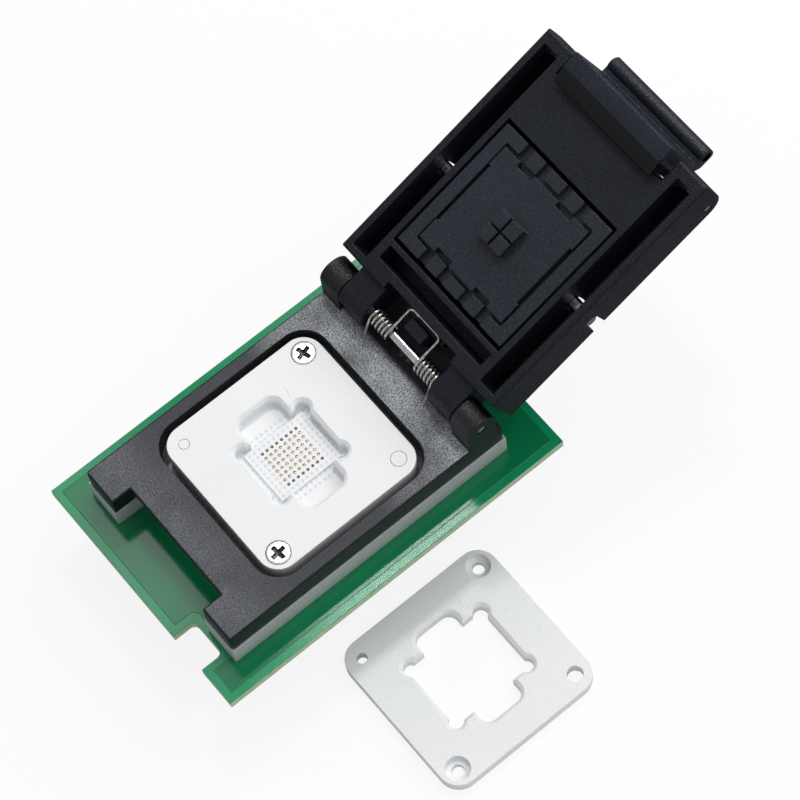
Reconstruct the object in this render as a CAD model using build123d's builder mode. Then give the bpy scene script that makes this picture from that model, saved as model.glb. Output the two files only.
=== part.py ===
"""Clamshell test socket for a fine-pitch ball-grid chip, on an adapter board with two rows of header pins.

Millimetres. The origin is the middle of the header pattern on the underside of the header strips, which is
where the adapter seats in a socket. +Z is up and -Y is the front, where the latch closes. The lid is modelled
open, leaning back on its stop. A second chip guide, for a larger chip, lies beside the adapter, on the surface
that the header pins stand on.
"""

import os
from math import cos, radians, sin

from build123d import *

os.makedirs("parts", exist_ok=True)

# Clearances
running = 0.05
fixed_fit = 0.02

# Adapter board, past the base at the front, the back and each side
board_past_front = 4.2
board_past_back = 6.5
board_past_side = 4.1
board_t = 1.6
board_y = -1.2
lever_notch_x = 10.45
lever_notch_w = 6.0
lever_notch_d = 3.4
lever_notch_r = 0.9

# Header rows under the board
row_gap = 15.24
pin_pitch = 2.54
pins_per_row = 20
strip_h = 2.5
strip_w = 2.5
strip_notch = 0.4
header_pin_l = 8.5
header_pin_r = 0.26
header_pin_sides = 8

# Socket body: a light lower plate and the black base on it
plate_margin = 0.2
plate_t = 3.8
pocket_gap = 1.0
base_wall = 1.9
front_land = 8.7
back_land = 9.6
base_h = 3.7
base_edge = 0.25
base_corner_r = 0.5

# Catch notch at the front of the base
catch_cheek = 5.75
catch_d = 3.0
lip_h = 0.8
lip_d = 1.1

# Floating nest: a contact block with a guide plate on it
nest_w = 25.0
nest_r = 3.0
guide_t = 2.0
block_t = 3.0
block_cavity = 10.8
web_t = 0.8
seat_w = 8.4
seat_l = 9.8
seat_h = 0.4
fixing_inset = 2.5
big_post_r = 1.05
small_post_r = 0.7
nest_travel = 0.5
nest_rest_gap = 0.4
nest_bore_d = 2.0

# Openings in the guide plates
chip_w = 9.0
chip_l = 11.0
spare_chip_w = 10.5
spare_chip_l = 13.0
relief_w = 15.8
relief_l = 6.6
relief_r = 1.5
lobe_r = 1.05
lead_in = 0.45

# Contacts
ball_pitch = 0.8
pin_rows = 8
hole_columns = 8
pin_columns = 6
contact_r = 0.2
contact_sides = 6
contact_drop = 0.05
contact_travel = 0.4
retainer_w = 10.0
retainer_h = 3.5
contact_l = 3.9

# Guide screws and board screws
head_r = 1.65
head_h = 0.9
shank_r = 0.8
guide_screw_l = 6.9
board_screw_from_side = 2.8
board_screw_from_front = 4.4
board_screw_from_back = 5.7
board_screw_head_r = 1.6
board_screw_head_h = 1.0
board_screw_l = 8.6

# Springs
nest_spring_r = 1.1
nest_wire_r = 0.16
nest_spring_wall = 3.0
presser_spring_r = 1.15
presser_wire_r = 0.17
presser_spring_inset = 2.95
spring_turns = 2.25

# Hinge
hinge_from_pocket = 6.35
hinge_rise = 3.8
hinge_pin_r = 0.7
barrel_r = 2.3
ear_w = 3.7
lug_in = 6.9
lug_gap = 0.15
open_tilt = 22.2
stop_gap = 0.03
pin_end = 0.15

# Hinge spring
coil_r = 1.15
coil_wire_r = 0.25
wire_sides = 8
coil_pitch = 0.66
coil_turns = 5
wire_lap = 0.3
coil_in = 2.95
loop_reach = 4.3
loop_r = 0.6
leg_angle = 160.0

# Lid: s runs from the hinge axis to the free end, h from the hinge axis towards the inside face
lid_proud = 0.1
lid_back = 3.5
lid_past_base = 0.55
lid_in = 3.5
lid_out = -3.9
lid_nose_r = 2.5
lid_edge = 0.3
slot_inset = 2.5
slot_w = 2.6
slot_from = 4.7
slot_wall = 1.9
slot_floor = -3.0
cross_shoulder = 0.4
cross_from = 6.0
cross_to = 8.1
cross_d = 5.0
window_to = 4.7
tongue_w = 3.4
tongue_from = 1.9
tongue_to = 3.6
tongue_h = 1.9
ledge_w = 7.4
hood_t = 1.1

# Presser in the lid
carrier_inset = 2.15
carrier_side_gap = 0.35
carrier_end_gap = 0.55
carrier_under = -2.1
carrier_top = 2.4
presser_rim_top = 3.4
rim_w = 1.85
rim_arm = 4.1
key_w = 2.3
key_x = 3.8
key_l = 2.2
middle_key_w = 3.1
middle_key_l = 1.8
key_top = 3.25
presser_side_gap = 0.25
presser_end_gap = 0.45
presser_top = 3.6
presser_step = 0.35
presser_step_l = 9.8
presser_notch_w = 2.9
presser_notch_d = 0.75
anvil = 4.6
anvil_top = 5.0
anvil_groove = 0.35
cross_pin_r = 0.9
cross_pin_h = -0.9
presser_travel = 0.8
presser_roof = 1.0

# Latch
latch_side_gap = 0.35
latch_cut_gap = 1.0
latch_cut_d = 3.6
latch_inset = 2.2
latch_h = -2.3
latch_pin_r = 0.6
latch_barrel_r = 1.25
latch_gap = 0.3
latch_proud = 0.5
hook_top = 5.9
hook_crest_d = 2.4
hook_bite = 0.7
nose_h = 0.2
tab_under = -6.6
tab_top = -4.6
tab_l = 2.8
latch_spring_r = 0.95
latch_wire_r = 0.14
latch_spring_w = 3.2

# Spare guide beside the adapter
spare_apart = 0.25
spare_back = 2.0

# Widths and places, from the sizes above
pocket = nest_w + 2 * pocket_gap
pocket_r = nest_r + pocket_gap
base_w = pocket + 2 * base_wall
base_front = -(pocket / 2 + front_land)
base_back = pocket / 2 + back_land
board_w = base_w + 2 * board_past_side
board_l = base_back - base_front + board_past_front + board_past_back
chip_y = board_y - (base_front - board_past_front + base_back + board_past_back) / 2
catch_w = base_w - 2 * catch_cheek
corner_fixing = nest_w / 2 - fixing_inset
board_screw_x = base_w / 2 - board_screw_from_side
board_screw_front = base_front + board_screw_from_front
board_screw_back = base_back - board_screw_from_back
nest_spring_at = block_cavity / 2 + nest_spring_wall
hinge_y = pocket / 2 + hinge_from_pocket
ear_in = base_w / 2 - ear_w
lid_w = base_w + 2 * lid_proud
lid_front = hinge_y - base_front + lid_past_base
slot_x = lid_w / 2 - slot_inset
slot_to = lid_front - slot_wall
carrier_w = nest_w - 2 * carrier_inset
presser_pocket_w = carrier_w + 2 * carrier_side_gap
presser_pocket_l = carrier_w + 2 * carrier_end_gap
cross_w = presser_pocket_w - 2 * cross_shoulder
presser_w = carrier_w - 2 * rim_w - 2 * presser_side_gap
presser_l = carrier_w - 2 * rim_w - 2 * presser_end_gap
presser_spring_s = carrier_w / 2 - presser_spring_inset
latch_w = catch_w - 2 * latch_side_gap
latch_cut_w = latch_w + 2 * latch_cut_gap
latch_cut_from = lid_front - latch_cut_d
latch_s = lid_front - latch_inset
latch_face = lid_front + latch_proud
hook_back = latch_face - hook_crest_d
tab_tip = latch_face + tab_l
spare_x = board_w / 2 + spare_apart + nest_w / 2
spare_y = chip_y + spare_back

# Levels, from the sizes above
board_top = strip_h + board_t
plate_top = board_top + plate_t
base_top = plate_top + base_h
guide_under = base_top - guide_t
block_under = guide_under - block_t
pocket_floor = block_under - nest_travel - nest_rest_gap
web_under = guide_under - web_t
seat_top = guide_under + seat_h
contact_top = seat_top - contact_drop
contact_hole_r = contact_r + running
ground = -header_pin_l
hinge_z = base_top + hinge_rise
tilt = radians(open_tilt)
presser_floor = carrier_under - presser_travel - 2 * running
board_screw_spots = [
    (side * board_screw_x, y) for side in (-1, 1) for y in (board_screw_front, board_screw_back)
]
guide_screw_spots = [(-corner_fixing, corner_fixing), (corner_fixing, -corner_fixing)]


def chip_plane(z):
    """Level z, centred on the chip."""
    return Plane((0, chip_y, z))


def across(x):
    """Upright plane at x through the hinge axis: local X is +Y and local Y is up."""
    return Plane(origin=(x, chip_y + hinge_y, hinge_z), x_dir=(0, 1, 0), z_dir=(1, 0, 0))


def lid_across(x):
    """The same plane turned with the lid: local X is s and local Y is h."""
    return Plane(origin=(x, chip_y + hinge_y, hinge_z), x_dir=(0, cos(tilt), sin(tilt)), z_dir=(1, 0, 0))


def lid_level(h):
    """Plane parallel to the lid's faces at height h: local X is X and local Y is s."""
    middle = Vector(0, chip_y + hinge_y, hinge_z) + Vector(0, -sin(tilt), cos(tilt)) * h
    return Plane(origin=middle, x_dir=(1, 0, 0), z_dir=(0, -sin(tilt), cos(tilt)))


def finish(piece, name):
    """Labels a finished piece and writes it to its own file."""
    piece.part.label = name
    export_step(piece.part, f"parts/{name}.step")


def guide(plane, width, length):
    """A chip guide plate: its opening holds the chip at four nubs and end walls and clears its corners."""
    with BuildPart() as plate:
        with BuildSketch(plane):
            RectangleRounded(nest_w, nest_w, nest_r)
        extrude(amount=-guide_t)
        with BuildSketch(plane) as opening:
            Rectangle(width, length)
            RectangleRounded(relief_w, relief_l, relief_r)
            with GridLocations(width - lobe_r, length - lobe_r, 2, 2):
                Circle(lobe_r)
        extrude(amount=-guide_t, mode=Mode.SUBTRACT)
        rims = plate.faces().sort_by(Axis.Z)[-1].inner_wires()
        chamfer(rims.edges(), lead_in)
        with Locations(plane):
            with Locations(*guide_screw_spots):
                CounterBoreHole(shank_r + running, head_r + running, head_h + running)
            with Locations((corner_fixing, corner_fixing)):
                Hole(big_post_r + running)
            with Locations((-corner_fixing, -corner_fixing)):
                Hole(small_post_r + running)
    return plate


def coil(place, radius, wire, height, turns, sides=4):
    """A wire with so many sides that winds up from a place in a helix, starting on its local X."""
    with BuildPart() as upright:
        with BuildLine() as path:
            Helix(height / turns, height, radius)
        with BuildSketch(Plane(origin=path.line @ 0, z_dir=path.line % 0)):
            RegularPolygon(wire, sides)
        sweep(path=path.line, is_frenet=True)
    return upright.part.moved(place)


# Adapter board, with the notch that clears a programming socket's lever
with BuildPart() as adapter_board:
    with BuildSketch(Plane((0, board_y, strip_h))):
        Rectangle(board_w, board_l)
        with Locations((lever_notch_x, -board_l / 2)):
            RectangleRounded(lever_notch_w, 2 * lever_notch_d, lever_notch_r, mode=Mode.SUBTRACT)
    extrude(amount=board_t)
    with Locations(chip_plane(board_top)):
        with Locations(*board_screw_spots):
            Hole(shank_r + running)
finish(adapter_board, "adapter_board")

# Header rows: a moulded strip each, with pins through it that are soldered to pads under the board
for side, name in ((-1, "left"), (1, "right")):
    row_x = side * row_gap / 2
    with BuildPart() as header_strip:
        with BuildSketch(Plane((row_x, 0, 0))):
            Rectangle(strip_w, pins_per_row * pin_pitch)
            with GridLocations(strip_w, pin_pitch, 2, pins_per_row - 1):
                Rectangle(strip_notch, strip_notch, rotation=45, mode=Mode.SUBTRACT)
        extrude(amount=strip_h)
    finish(header_strip, f"header_strip_{name}")

    with BuildPart() as header_pins:
        with BuildSketch(Plane((row_x, 0, ground))):
            with GridLocations(1, pin_pitch, 1, pins_per_row - 2):
                RegularPolygon(header_pin_r, header_pin_sides)
            with GridLocations(1, (pins_per_row - 1) * pin_pitch, 1, 2):
                Circle(header_pin_r)
        extrude(amount=header_pin_l)
        with BuildSketch(Plane((row_x, 0, 0))):
            with GridLocations(1, pin_pitch, 1, pins_per_row):
                RegularPolygon(header_pin_r, header_pin_sides)
        extrude(amount=strip_h)
    finish(header_pins, f"header_pins_{name}")

# Lower plate of the socket, with the pocket that the contact block floats in
with BuildPart() as base_plate:
    with BuildSketch(chip_plane(board_top)):
        with Locations((0, (base_front + base_back) / 2)):
            Rectangle(base_w + 2 * plate_margin, base_back - base_front + 2 * plate_margin)
        with Locations((0, base_front)):
            Rectangle(catch_w, 2 * (catch_d + lip_d), mode=Mode.SUBTRACT)
        Rectangle(retainer_w + running, retainer_w + running, mode=Mode.SUBTRACT)
    extrude(amount=plate_t)
    with BuildSketch(chip_plane(plate_top)):
        RectangleRounded(pocket, pocket, pocket_r)
    extrude(amount=pocket_floor - plate_top, mode=Mode.SUBTRACT)
    with Locations(chip_plane(plate_top)):
        with Locations(*board_screw_spots):
            Hole(shank_r + running)
    with Locations(chip_plane(pocket_floor)):
        with Locations(*guide_screw_spots):
            Hole(shank_r + fixed_fit, depth=guide_screw_l + fixed_fit - (base_top - pocket_floor))
finish(base_plate, "base_plate")

# Black base: pocket, catch notch with its undercut lip, and the two hinge ears
with BuildPart() as socket_base:
    with BuildSketch(chip_plane(plate_top)):
        with Locations((0, (base_front + base_back) / 2)):
            RectangleRounded(base_w, base_back - base_front, base_corner_r)
        with Locations((0, base_front)):
            Rectangle(catch_w, 2 * catch_d, mode=Mode.SUBTRACT)
    extrude(amount=base_h)
    outer_rim = socket_base.faces().sort_by(Axis.Z)[-1].outer_wire()
    chamfer(outer_rim.edges(), base_edge)
    with BuildSketch(chip_plane(plate_top)):
        RectangleRounded(pocket, pocket, pocket_r)
    extrude(amount=base_h, mode=Mode.SUBTRACT)
    with BuildSketch(chip_plane(plate_top)):
        with Locations((0, base_front)):
            Rectangle(catch_w, 2 * (catch_d + lip_d))
    extrude(amount=base_h - lip_h, mode=Mode.SUBTRACT)
    for x in (-base_w / 2, ear_in):
        with BuildSketch(across(x)):
            Circle(barrel_r)
            with Locations((0, -(hinge_rise + base_edge) / 2)):
                Rectangle(2 * barrel_r, hinge_rise + base_edge)
        extrude(amount=base_w / 2 - ear_in)
    with BuildSketch(across(-base_w)):
        Circle(hinge_pin_r + fixed_fit)
    extrude(amount=2 * base_w, mode=Mode.SUBTRACT)
    with BuildSketch(chip_plane(plate_top)):
        with Locations(*board_screw_spots):
            Circle(shank_r + fixed_fit)
    extrude(amount=board_screw_l + fixed_fit - board_t - plate_t, mode=Mode.SUBTRACT)
finish(socket_base, "socket_base")

# Four screws from under the board hold the socket down
with BuildPart() as board_screws:
    with BuildSketch(chip_plane(strip_h)):
        with Locations(*board_screw_spots):
            Circle(shank_r)
    extrude(amount=board_screw_l)
    with BuildSketch(chip_plane(strip_h)):
        with Locations(*board_screw_spots):
            Circle(board_screw_head_r)
    extrude(amount=-board_screw_head_h)
finish(board_screws, "board_screws")

# Retainer for the sprung contacts: it stands in the lower plate's window, with a slot for each row of contacts
with BuildPart() as pin_retainer:
    with BuildSketch(chip_plane(board_top)):
        Rectangle(retainer_w, retainer_w)
    extrude(amount=retainer_h)
    slot_depth = board_top + retainer_h - (contact_top - contact_l - contact_travel - running)
    with BuildSketch(chip_plane(board_top + retainer_h)):
        with GridLocations(1, ball_pitch, 1, pin_rows):
            Rectangle((pin_columns - 1) * ball_pitch + 2 * contact_hole_r, 2 * contact_hole_r)
    extrude(amount=-slot_depth, mode=Mode.SUBTRACT)
finish(pin_retainer, "pin_retainer")

# Gold contact plungers under the middle columns of holes
with BuildPart() as contact_pins:
    with BuildSketch(chip_plane(contact_top)):
        with GridLocations(ball_pitch, ball_pitch, pin_columns, pin_rows):
            RegularPolygon(contact_r, contact_sides)
    extrude(amount=-contact_l)
finish(contact_pins, "contact_pins")

# Contact block: the chip sits on its raised field, over eight rows of eight holes
with BuildPart() as contact_block:
    with BuildSketch(chip_plane(block_under)):
        RectangleRounded(nest_w, nest_w, nest_r)
    extrude(amount=block_t)
    with BuildSketch(chip_plane(guide_under)):
        Rectangle(seat_w, seat_l)
    extrude(amount=seat_h)
    with BuildSketch(chip_plane(block_under)):
        Rectangle(block_cavity, block_cavity)
    extrude(amount=web_under - block_under, mode=Mode.SUBTRACT)
    with BuildSketch(chip_plane(seat_top)):
        with GridLocations(ball_pitch, ball_pitch, hole_columns, pin_rows):
            RegularPolygon(contact_hole_r, contact_sides)
    extrude(amount=-(seat_h + web_t), mode=Mode.SUBTRACT)
    with Locations(chip_plane(guide_under)):
        with Locations((corner_fixing, corner_fixing)):
            Cylinder(big_post_r, guide_t, align=(Align.CENTER, Align.CENTER, Align.MIN))
        with Locations((-corner_fixing, -corner_fixing)):
            Cylinder(small_post_r, guide_t, align=(Align.CENTER, Align.CENTER, Align.MIN))
        with Locations(*guide_screw_spots):
            Hole(shank_r + running)
    with BuildSketch(chip_plane(block_under)):
        with PolarLocations(nest_spring_at, 4):
            Circle(nest_spring_r + nest_wire_r + running)
    extrude(amount=nest_bore_d, mode=Mode.SUBTRACT)
finish(contact_block, "contact_block")

# Guide plate for the chip in use, flush with the base's top
guide_plate = guide(chip_plane(base_top), chip_w, chip_l)
finish(guide_plate, "guide_plate")

# Two shoulder screws hold the floating nest down against its springs
with BuildPart() as guide_screws:
    with BuildSketch(chip_plane(base_top)):
        with Locations(*guide_screw_spots):
            Circle(head_r)
    extrude(amount=-head_h)
    with BuildSketch(chip_plane(base_top - guide_screw_l)):
        with Locations(*guide_screw_spots):
            Circle(shank_r)
    extrude(amount=guide_screw_l - head_h)
finish(guide_screws, "guide_screws")

# Springs under the contact block, in its blind bores
nest_spring_foot = pocket_floor + nest_wire_r + fixed_fit
nest_spring_top = block_under + nest_bore_d - nest_wire_r - fixed_fit
with BuildPart() as nest_springs:
    for spot in PolarLocations(nest_spring_at, 4):
        foot = chip_plane(nest_spring_foot) * spot
        add(coil(foot, nest_spring_r, nest_wire_r, nest_spring_top - nest_spring_foot, spring_turns))
finish(nest_springs, "nest_springs")

# Hinge pin
with BuildPart() as hinge_pin:
    with BuildSketch(across(pin_end - base_w / 2)):
        Circle(hinge_pin_r)
    extrude(amount=base_w - 2 * pin_end)
finish(hinge_pin, "hinge_pin")

# Double torsion spring: two coils on the hinge pin, joined by a loop that lifts the lid
coil_end_angle = open_tilt + 90.0
coil_sweep = coil_turns + (leg_angle - coil_end_angle) / 360.0
coil_w = coil_sweep * coil_pitch
leg_dir = Vector(0, cos(radians(leg_angle + 90)), sin(radians(leg_angle + 90)))
start_dir = Vector(0, cos(radians(leg_angle)), sin(radians(leg_angle)))
hinge_point = Vector(0, chip_y + hinge_y, hinge_z)
coil_start = hinge_point + Vector(coil_in + coil_w, 0, 0)
leg_top = coil_start + start_dir * coil_r
leg_l = (leg_top.Z - base_top - coil_wire_r - fixed_fit) / -leg_dir.Z
with BuildPart() as hinge_spring:
    start = Plane(origin=coil_start, x_dir=start_dir, z_dir=(-1, 0, 0)).location
    add(coil(start, coil_r, coil_wire_r, coil_w, coil_sweep, wire_sides))
    with BuildSketch(Plane(origin=leg_top - leg_dir * wire_lap, x_dir=(1, 0, 0), z_dir=leg_dir)):
        RegularPolygon(coil_wire_r, wire_sides)
    extrude(amount=leg_l + wire_lap)
    mirror(about=Plane.YZ)
    with BuildLine(lid_level(coil_r)) as loop_path:
        FilletPolyline(
            (-coil_in, -wire_lap),
            (-coil_in, loop_reach),
            (coil_in, loop_reach),
            (coil_in, -wire_lap),
            radius=loop_r,
        )
    with BuildSketch(Plane(origin=loop_path.line @ 0, x_dir=(1, 0, 0), z_dir=loop_path.line % 0)):
        RegularPolygon(coil_wire_r, wire_sides)
    sweep(path=loop_path.line)
finish(hinge_spring, "hinge_spring")

# Lid frame
heel_s = -(hinge_rise - stop_gap + lid_out * cos(tilt)) / sin(tilt)
with BuildPart() as lid_frame:
    with BuildSketch(lid_across(-lid_w / 2)) as lid_side:
        with Locations(((lid_back + lid_front) / 2, (lid_in + lid_out) / 2)):
            Rectangle(lid_front - lid_back, lid_in - lid_out)
        nose = lid_side.vertices().group_by(Axis.X)[-1].sort_by(Axis.Y)[0]
        fillet(nose, lid_nose_r)
    extrude(amount=lid_w)
    inside_face = lid_frame.faces().sort_by(Axis(lid_level(0).origin, lid_level(0).z_dir))[-1]
    chamfer(inside_face.edges(), lid_edge)
    with BuildSketch(lid_level(lid_in)):
        for x in (-slot_x, slot_x):
            with Locations((x, (slot_from + slot_to) / 2)):
                Rectangle(slot_w, slot_to - slot_from)
    extrude(amount=slot_floor - lid_in, mode=Mode.SUBTRACT)
    with BuildSketch(lid_level(lid_in)):
        with Locations((0, (cross_from + cross_to) / 2)):
            Rectangle(cross_w, cross_to - cross_from)
    extrude(amount=-cross_d, mode=Mode.SUBTRACT)
    with BuildSketch(lid_level(lid_in)):
        with Locations((0, hinge_y)):
            Rectangle(presser_pocket_w, presser_pocket_l)
    extrude(amount=presser_floor - lid_in, mode=Mode.SUBTRACT)
    with BuildSketch(lid_level(lid_in)):
        with Locations((0, lid_back)):
            Rectangle(2 * lug_in, 2 * (window_to - lid_back))
        with Locations((0, lid_front)):
            Rectangle(latch_cut_w, 2 * (lid_front - latch_cut_from))
    extrude(amount=lid_out - lid_in, mode=Mode.SUBTRACT)
    for x in (-ear_in + lug_gap, lug_in):
        with BuildSketch(lid_across(x)):
            Circle(barrel_r)
            with BuildLine():
                Polyline(
                    (0, barrel_r),
                    (lid_back + lid_edge, barrel_r),
                    (lid_back + lid_edge, lid_out),
                    (heel_s, lid_out),
                    (-barrel_r, 0),
                    (0, barrel_r),
                )
            make_face()
        extrude(amount=ear_in - lug_gap - lug_in)
    with BuildSketch(lid_across(-lug_in)):
        with Locations(((heel_s + window_to) / 2, lid_out + hood_t / 2)):
            Rectangle(window_to - heel_s, hood_t)
    extrude(amount=2 * lug_in)
    with BuildSketch(lid_across(-tongue_w / 2)):
        with Locations(((tongue_from + window_to) / 2, 0)):
            Rectangle(window_to - tongue_from, 2 * (coil_r - coil_wire_r - fixed_fit))
        with Locations(((tongue_from + tongue_to) / 2, 0)):
            Rectangle(tongue_to - tongue_from, 2 * tongue_h)
    extrude(amount=tongue_w)
    with BuildSketch(lid_across(-ledge_w / 2)):
        with Locations(((tongue_to + window_to) / 2, 0)):
            Rectangle(window_to - tongue_to, 2 * (coil_r - coil_wire_r - fixed_fit))
    extrude(amount=ledge_w)
    with BuildSketch(lid_across(-lid_w)):
        Circle(hinge_pin_r + running)
    extrude(amount=2 * lid_w, mode=Mode.SUBTRACT)
    with BuildSketch(lid_across(-lid_w)):
        with Locations((latch_s, latch_h)):
            Circle(latch_pin_r + fixed_fit)
    extrude(amount=2 * lid_w, mode=Mode.SUBTRACT)
    for x in (-lid_w / 2, presser_pocket_w / 2):
        with BuildSketch(lid_across(x)):
            with Locations((hinge_y, cross_pin_h)):
                Circle(cross_pin_r + running)
            with Locations((hinge_y, lid_out)):
                Rectangle(2 * (cross_pin_r + running), 2 * (cross_pin_h - lid_out))
        extrude(amount=(lid_w - presser_pocket_w) / 2, mode=Mode.SUBTRACT)
finish(lid_frame, "lid_frame")

# Presser carrier: it slides in the lid's pocket on the cross pin and frames the presser plate
with BuildPart() as presser_carrier:
    with BuildSketch(lid_level(carrier_under)):
        with Locations((0, hinge_y)):
            Rectangle(carrier_w, carrier_w)
    extrude(amount=carrier_top - carrier_under)
    with BuildSketch(lid_level(carrier_top)):
        with Locations((0, hinge_y)):
            Rectangle(carrier_w, carrier_w)
            Rectangle(carrier_w - 2 * rim_w, carrier_w - 2 * rim_w, mode=Mode.SUBTRACT)
            Rectangle(carrier_w - 2 * rim_arm, 2 * carrier_w, mode=Mode.SUBTRACT)
    extrude(amount=presser_rim_top - carrier_top)
    with BuildSketch(lid_level(carrier_top)):
        with Locations((0, hinge_y)):
            with GridLocations(2 * key_x, carrier_w - key_l, 2, 2):
                Rectangle(key_w, key_l)
            with GridLocations(1, carrier_w - middle_key_l, 1, 2):
                Rectangle(middle_key_w, middle_key_l)
    extrude(amount=key_top - carrier_top)
    with BuildSketch(lid_across(-carrier_w)):
        with Locations((hinge_y, cross_pin_h)):
            Circle(cross_pin_r + fixed_fit)
    extrude(amount=2 * carrier_w, mode=Mode.SUBTRACT)
    with BuildSketch(lid_level(carrier_under)):
        with Locations((0, hinge_y)):
            with GridLocations(1, 2 * presser_spring_s, 1, 2):
                Circle(presser_spring_r + presser_wire_r + running)
    extrude(amount=carrier_top - carrier_under - presser_roof, mode=Mode.SUBTRACT)
finish(presser_carrier, "presser_carrier")

# Presser plate with its raised anvil of four small squares
with BuildPart() as presser_plate:
    with BuildSketch(lid_level(carrier_top)):
        with Locations((0, hinge_y)):
            Rectangle(presser_w, presser_l)
            with GridLocations(presser_w, 1, 2, 1):
                Rectangle(2 * presser_step, presser_step_l, mode=Mode.SUBTRACT)
            with GridLocations(2 * key_x, presser_l, 2, 2):
                Rectangle(presser_notch_w, 2 * presser_notch_d, mode=Mode.SUBTRACT)
    extrude(amount=presser_top - carrier_top)
    with BuildSketch(lid_level(presser_top)):
        with Locations((0, hinge_y)):
            Rectangle(anvil, anvil)
            Rectangle(anvil_groove, anvil, mode=Mode.SUBTRACT)
            Rectangle(anvil, anvil_groove, mode=Mode.SUBTRACT)
    extrude(amount=anvil_top - presser_top)
finish(presser_plate, "presser_plate")

# Cross pin that carries the presser and runs in the slots of the lid's sides
with BuildPart() as presser_pin:
    with BuildSketch(lid_across(pin_end - lid_w / 2)):
        with Locations((hinge_y, cross_pin_h)):
            Circle(cross_pin_r)
    extrude(amount=lid_w - 2 * pin_end)
finish(presser_pin, "presser_pin")

# Springs between the lid and the presser carrier
presser_spring_foot = presser_floor + presser_wire_r + fixed_fit
presser_spring_top = carrier_top - presser_roof - presser_wire_r - fixed_fit
presser_foot = lid_level(presser_spring_foot)
with BuildPart() as presser_springs:
    for s in (hinge_y - presser_spring_s, hinge_y + presser_spring_s):
        foot = presser_foot * Location((0, s, 0))
        height = presser_spring_top - presser_spring_foot
        add(coil(foot, presser_spring_r, presser_wire_r, height, spring_turns))
finish(presser_springs, "presser_springs")

# Latch: hook, stem, pivot barrel and the thumb tab past the lid's end
stem_s = hinge_y - base_front - catch_d + latch_gap
catch_h = hinge_rise + lip_h + running
nose_s = stem_s - latch_gap - hook_bite
tab_r = (tab_top - tab_under) / 2
latch_recess_r = latch_spring_r + latch_wire_r + running
with BuildPart() as latch:
    with BuildSketch(lid_across(-latch_w / 2)):
        with BuildLine():
            Polyline(
                (stem_s, latch_h),
                (stem_s, catch_h),
                (nose_s, catch_h),
                (nose_s, catch_h + nose_h),
                (hook_back, hook_top),
                (latch_face, hook_top),
                (latch_face, tab_top),
                (tab_tip - tab_r, tab_top),
            )
            JernArc((tab_tip - tab_r, tab_top), (1, 0), tab_r, -180)
            Polyline(
                (tab_tip - tab_r, tab_under),
                (latch_face, tab_under),
                (stem_s, latch_h - latch_barrel_r / 2),
                (stem_s, latch_h),
            )
        make_face()
        with Locations((latch_s, latch_h)):
            Circle(latch_barrel_r)
            Circle(latch_pin_r + running, mode=Mode.SUBTRACT)
    extrude(amount=latch_w)
    with BuildSketch(lid_across(-latch_spring_w / 2)):
        with Locations((latch_s, latch_h)):
            Circle(latch_recess_r)
        with Locations((latch_s - latch_barrel_r, latch_h)):
            Rectangle(2 * latch_barrel_r, 2 * latch_recess_r)
    extrude(amount=latch_spring_w, mode=Mode.SUBTRACT)
finish(latch, "latch")

# Latch pin
with BuildPart() as latch_pin:
    with BuildSketch(lid_across(pin_end - lid_w / 2)):
        with Locations((latch_s, latch_h)):
            Circle(latch_pin_r)
    extrude(amount=lid_w - 2 * pin_end)
finish(latch_pin, "latch_pin")

# Torsion spring round the latch pin
latch_coil_w = latch_spring_w - 2 * latch_wire_r - 2 * fixed_fit
with BuildPart() as latch_spring:
    start = lid_across(-latch_coil_w / 2) * Location((latch_s, latch_h, 0))
    add(coil(start, latch_spring_r, latch_wire_r, latch_coil_w, spring_turns))
finish(latch_spring, "latch_spring")

# Spare guide plate for a larger chip
spare_top = Plane((spare_x, spare_y, ground + guide_t))
spare_guide_plate = guide(spare_top, spare_chip_w, spare_chip_l)
finish(spare_guide_plate, "spare_guide_plate")
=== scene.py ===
# %% [markdown]
# # A clamshell chip socket on its adapter board
#
# The CAD model gives every size and place. This lesson gives the same object its looks: the soft edges of
# moulded plastic, the round wire of the springs, the cross recesses of the screws, and a material for each
# surface. The lid stands open and a spare chip guide lies beside the adapter.

from math import cos, pi, radians, sin

import bmesh
import bpy
import numpy as np
from mathutils import Matrix, Vector


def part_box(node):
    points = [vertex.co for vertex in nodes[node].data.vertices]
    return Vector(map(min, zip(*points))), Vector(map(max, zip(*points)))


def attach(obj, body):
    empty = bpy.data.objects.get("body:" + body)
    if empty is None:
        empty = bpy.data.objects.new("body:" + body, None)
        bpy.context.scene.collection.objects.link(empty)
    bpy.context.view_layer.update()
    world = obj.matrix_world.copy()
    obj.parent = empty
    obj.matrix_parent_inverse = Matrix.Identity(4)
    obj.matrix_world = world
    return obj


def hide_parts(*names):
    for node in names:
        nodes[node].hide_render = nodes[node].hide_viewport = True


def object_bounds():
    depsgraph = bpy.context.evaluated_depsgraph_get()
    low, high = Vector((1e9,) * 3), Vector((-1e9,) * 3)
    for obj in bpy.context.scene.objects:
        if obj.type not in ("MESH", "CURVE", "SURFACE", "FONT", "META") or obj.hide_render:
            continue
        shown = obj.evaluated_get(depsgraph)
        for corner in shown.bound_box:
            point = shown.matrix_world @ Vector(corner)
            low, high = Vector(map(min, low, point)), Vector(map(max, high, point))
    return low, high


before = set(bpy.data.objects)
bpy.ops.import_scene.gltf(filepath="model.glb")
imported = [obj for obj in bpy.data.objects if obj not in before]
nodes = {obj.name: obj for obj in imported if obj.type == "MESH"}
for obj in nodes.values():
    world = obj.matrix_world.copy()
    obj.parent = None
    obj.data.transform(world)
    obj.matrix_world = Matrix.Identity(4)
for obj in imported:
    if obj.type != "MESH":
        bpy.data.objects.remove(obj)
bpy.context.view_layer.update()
mm = 0.001
print("CAD nodes:", len(nodes))

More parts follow.
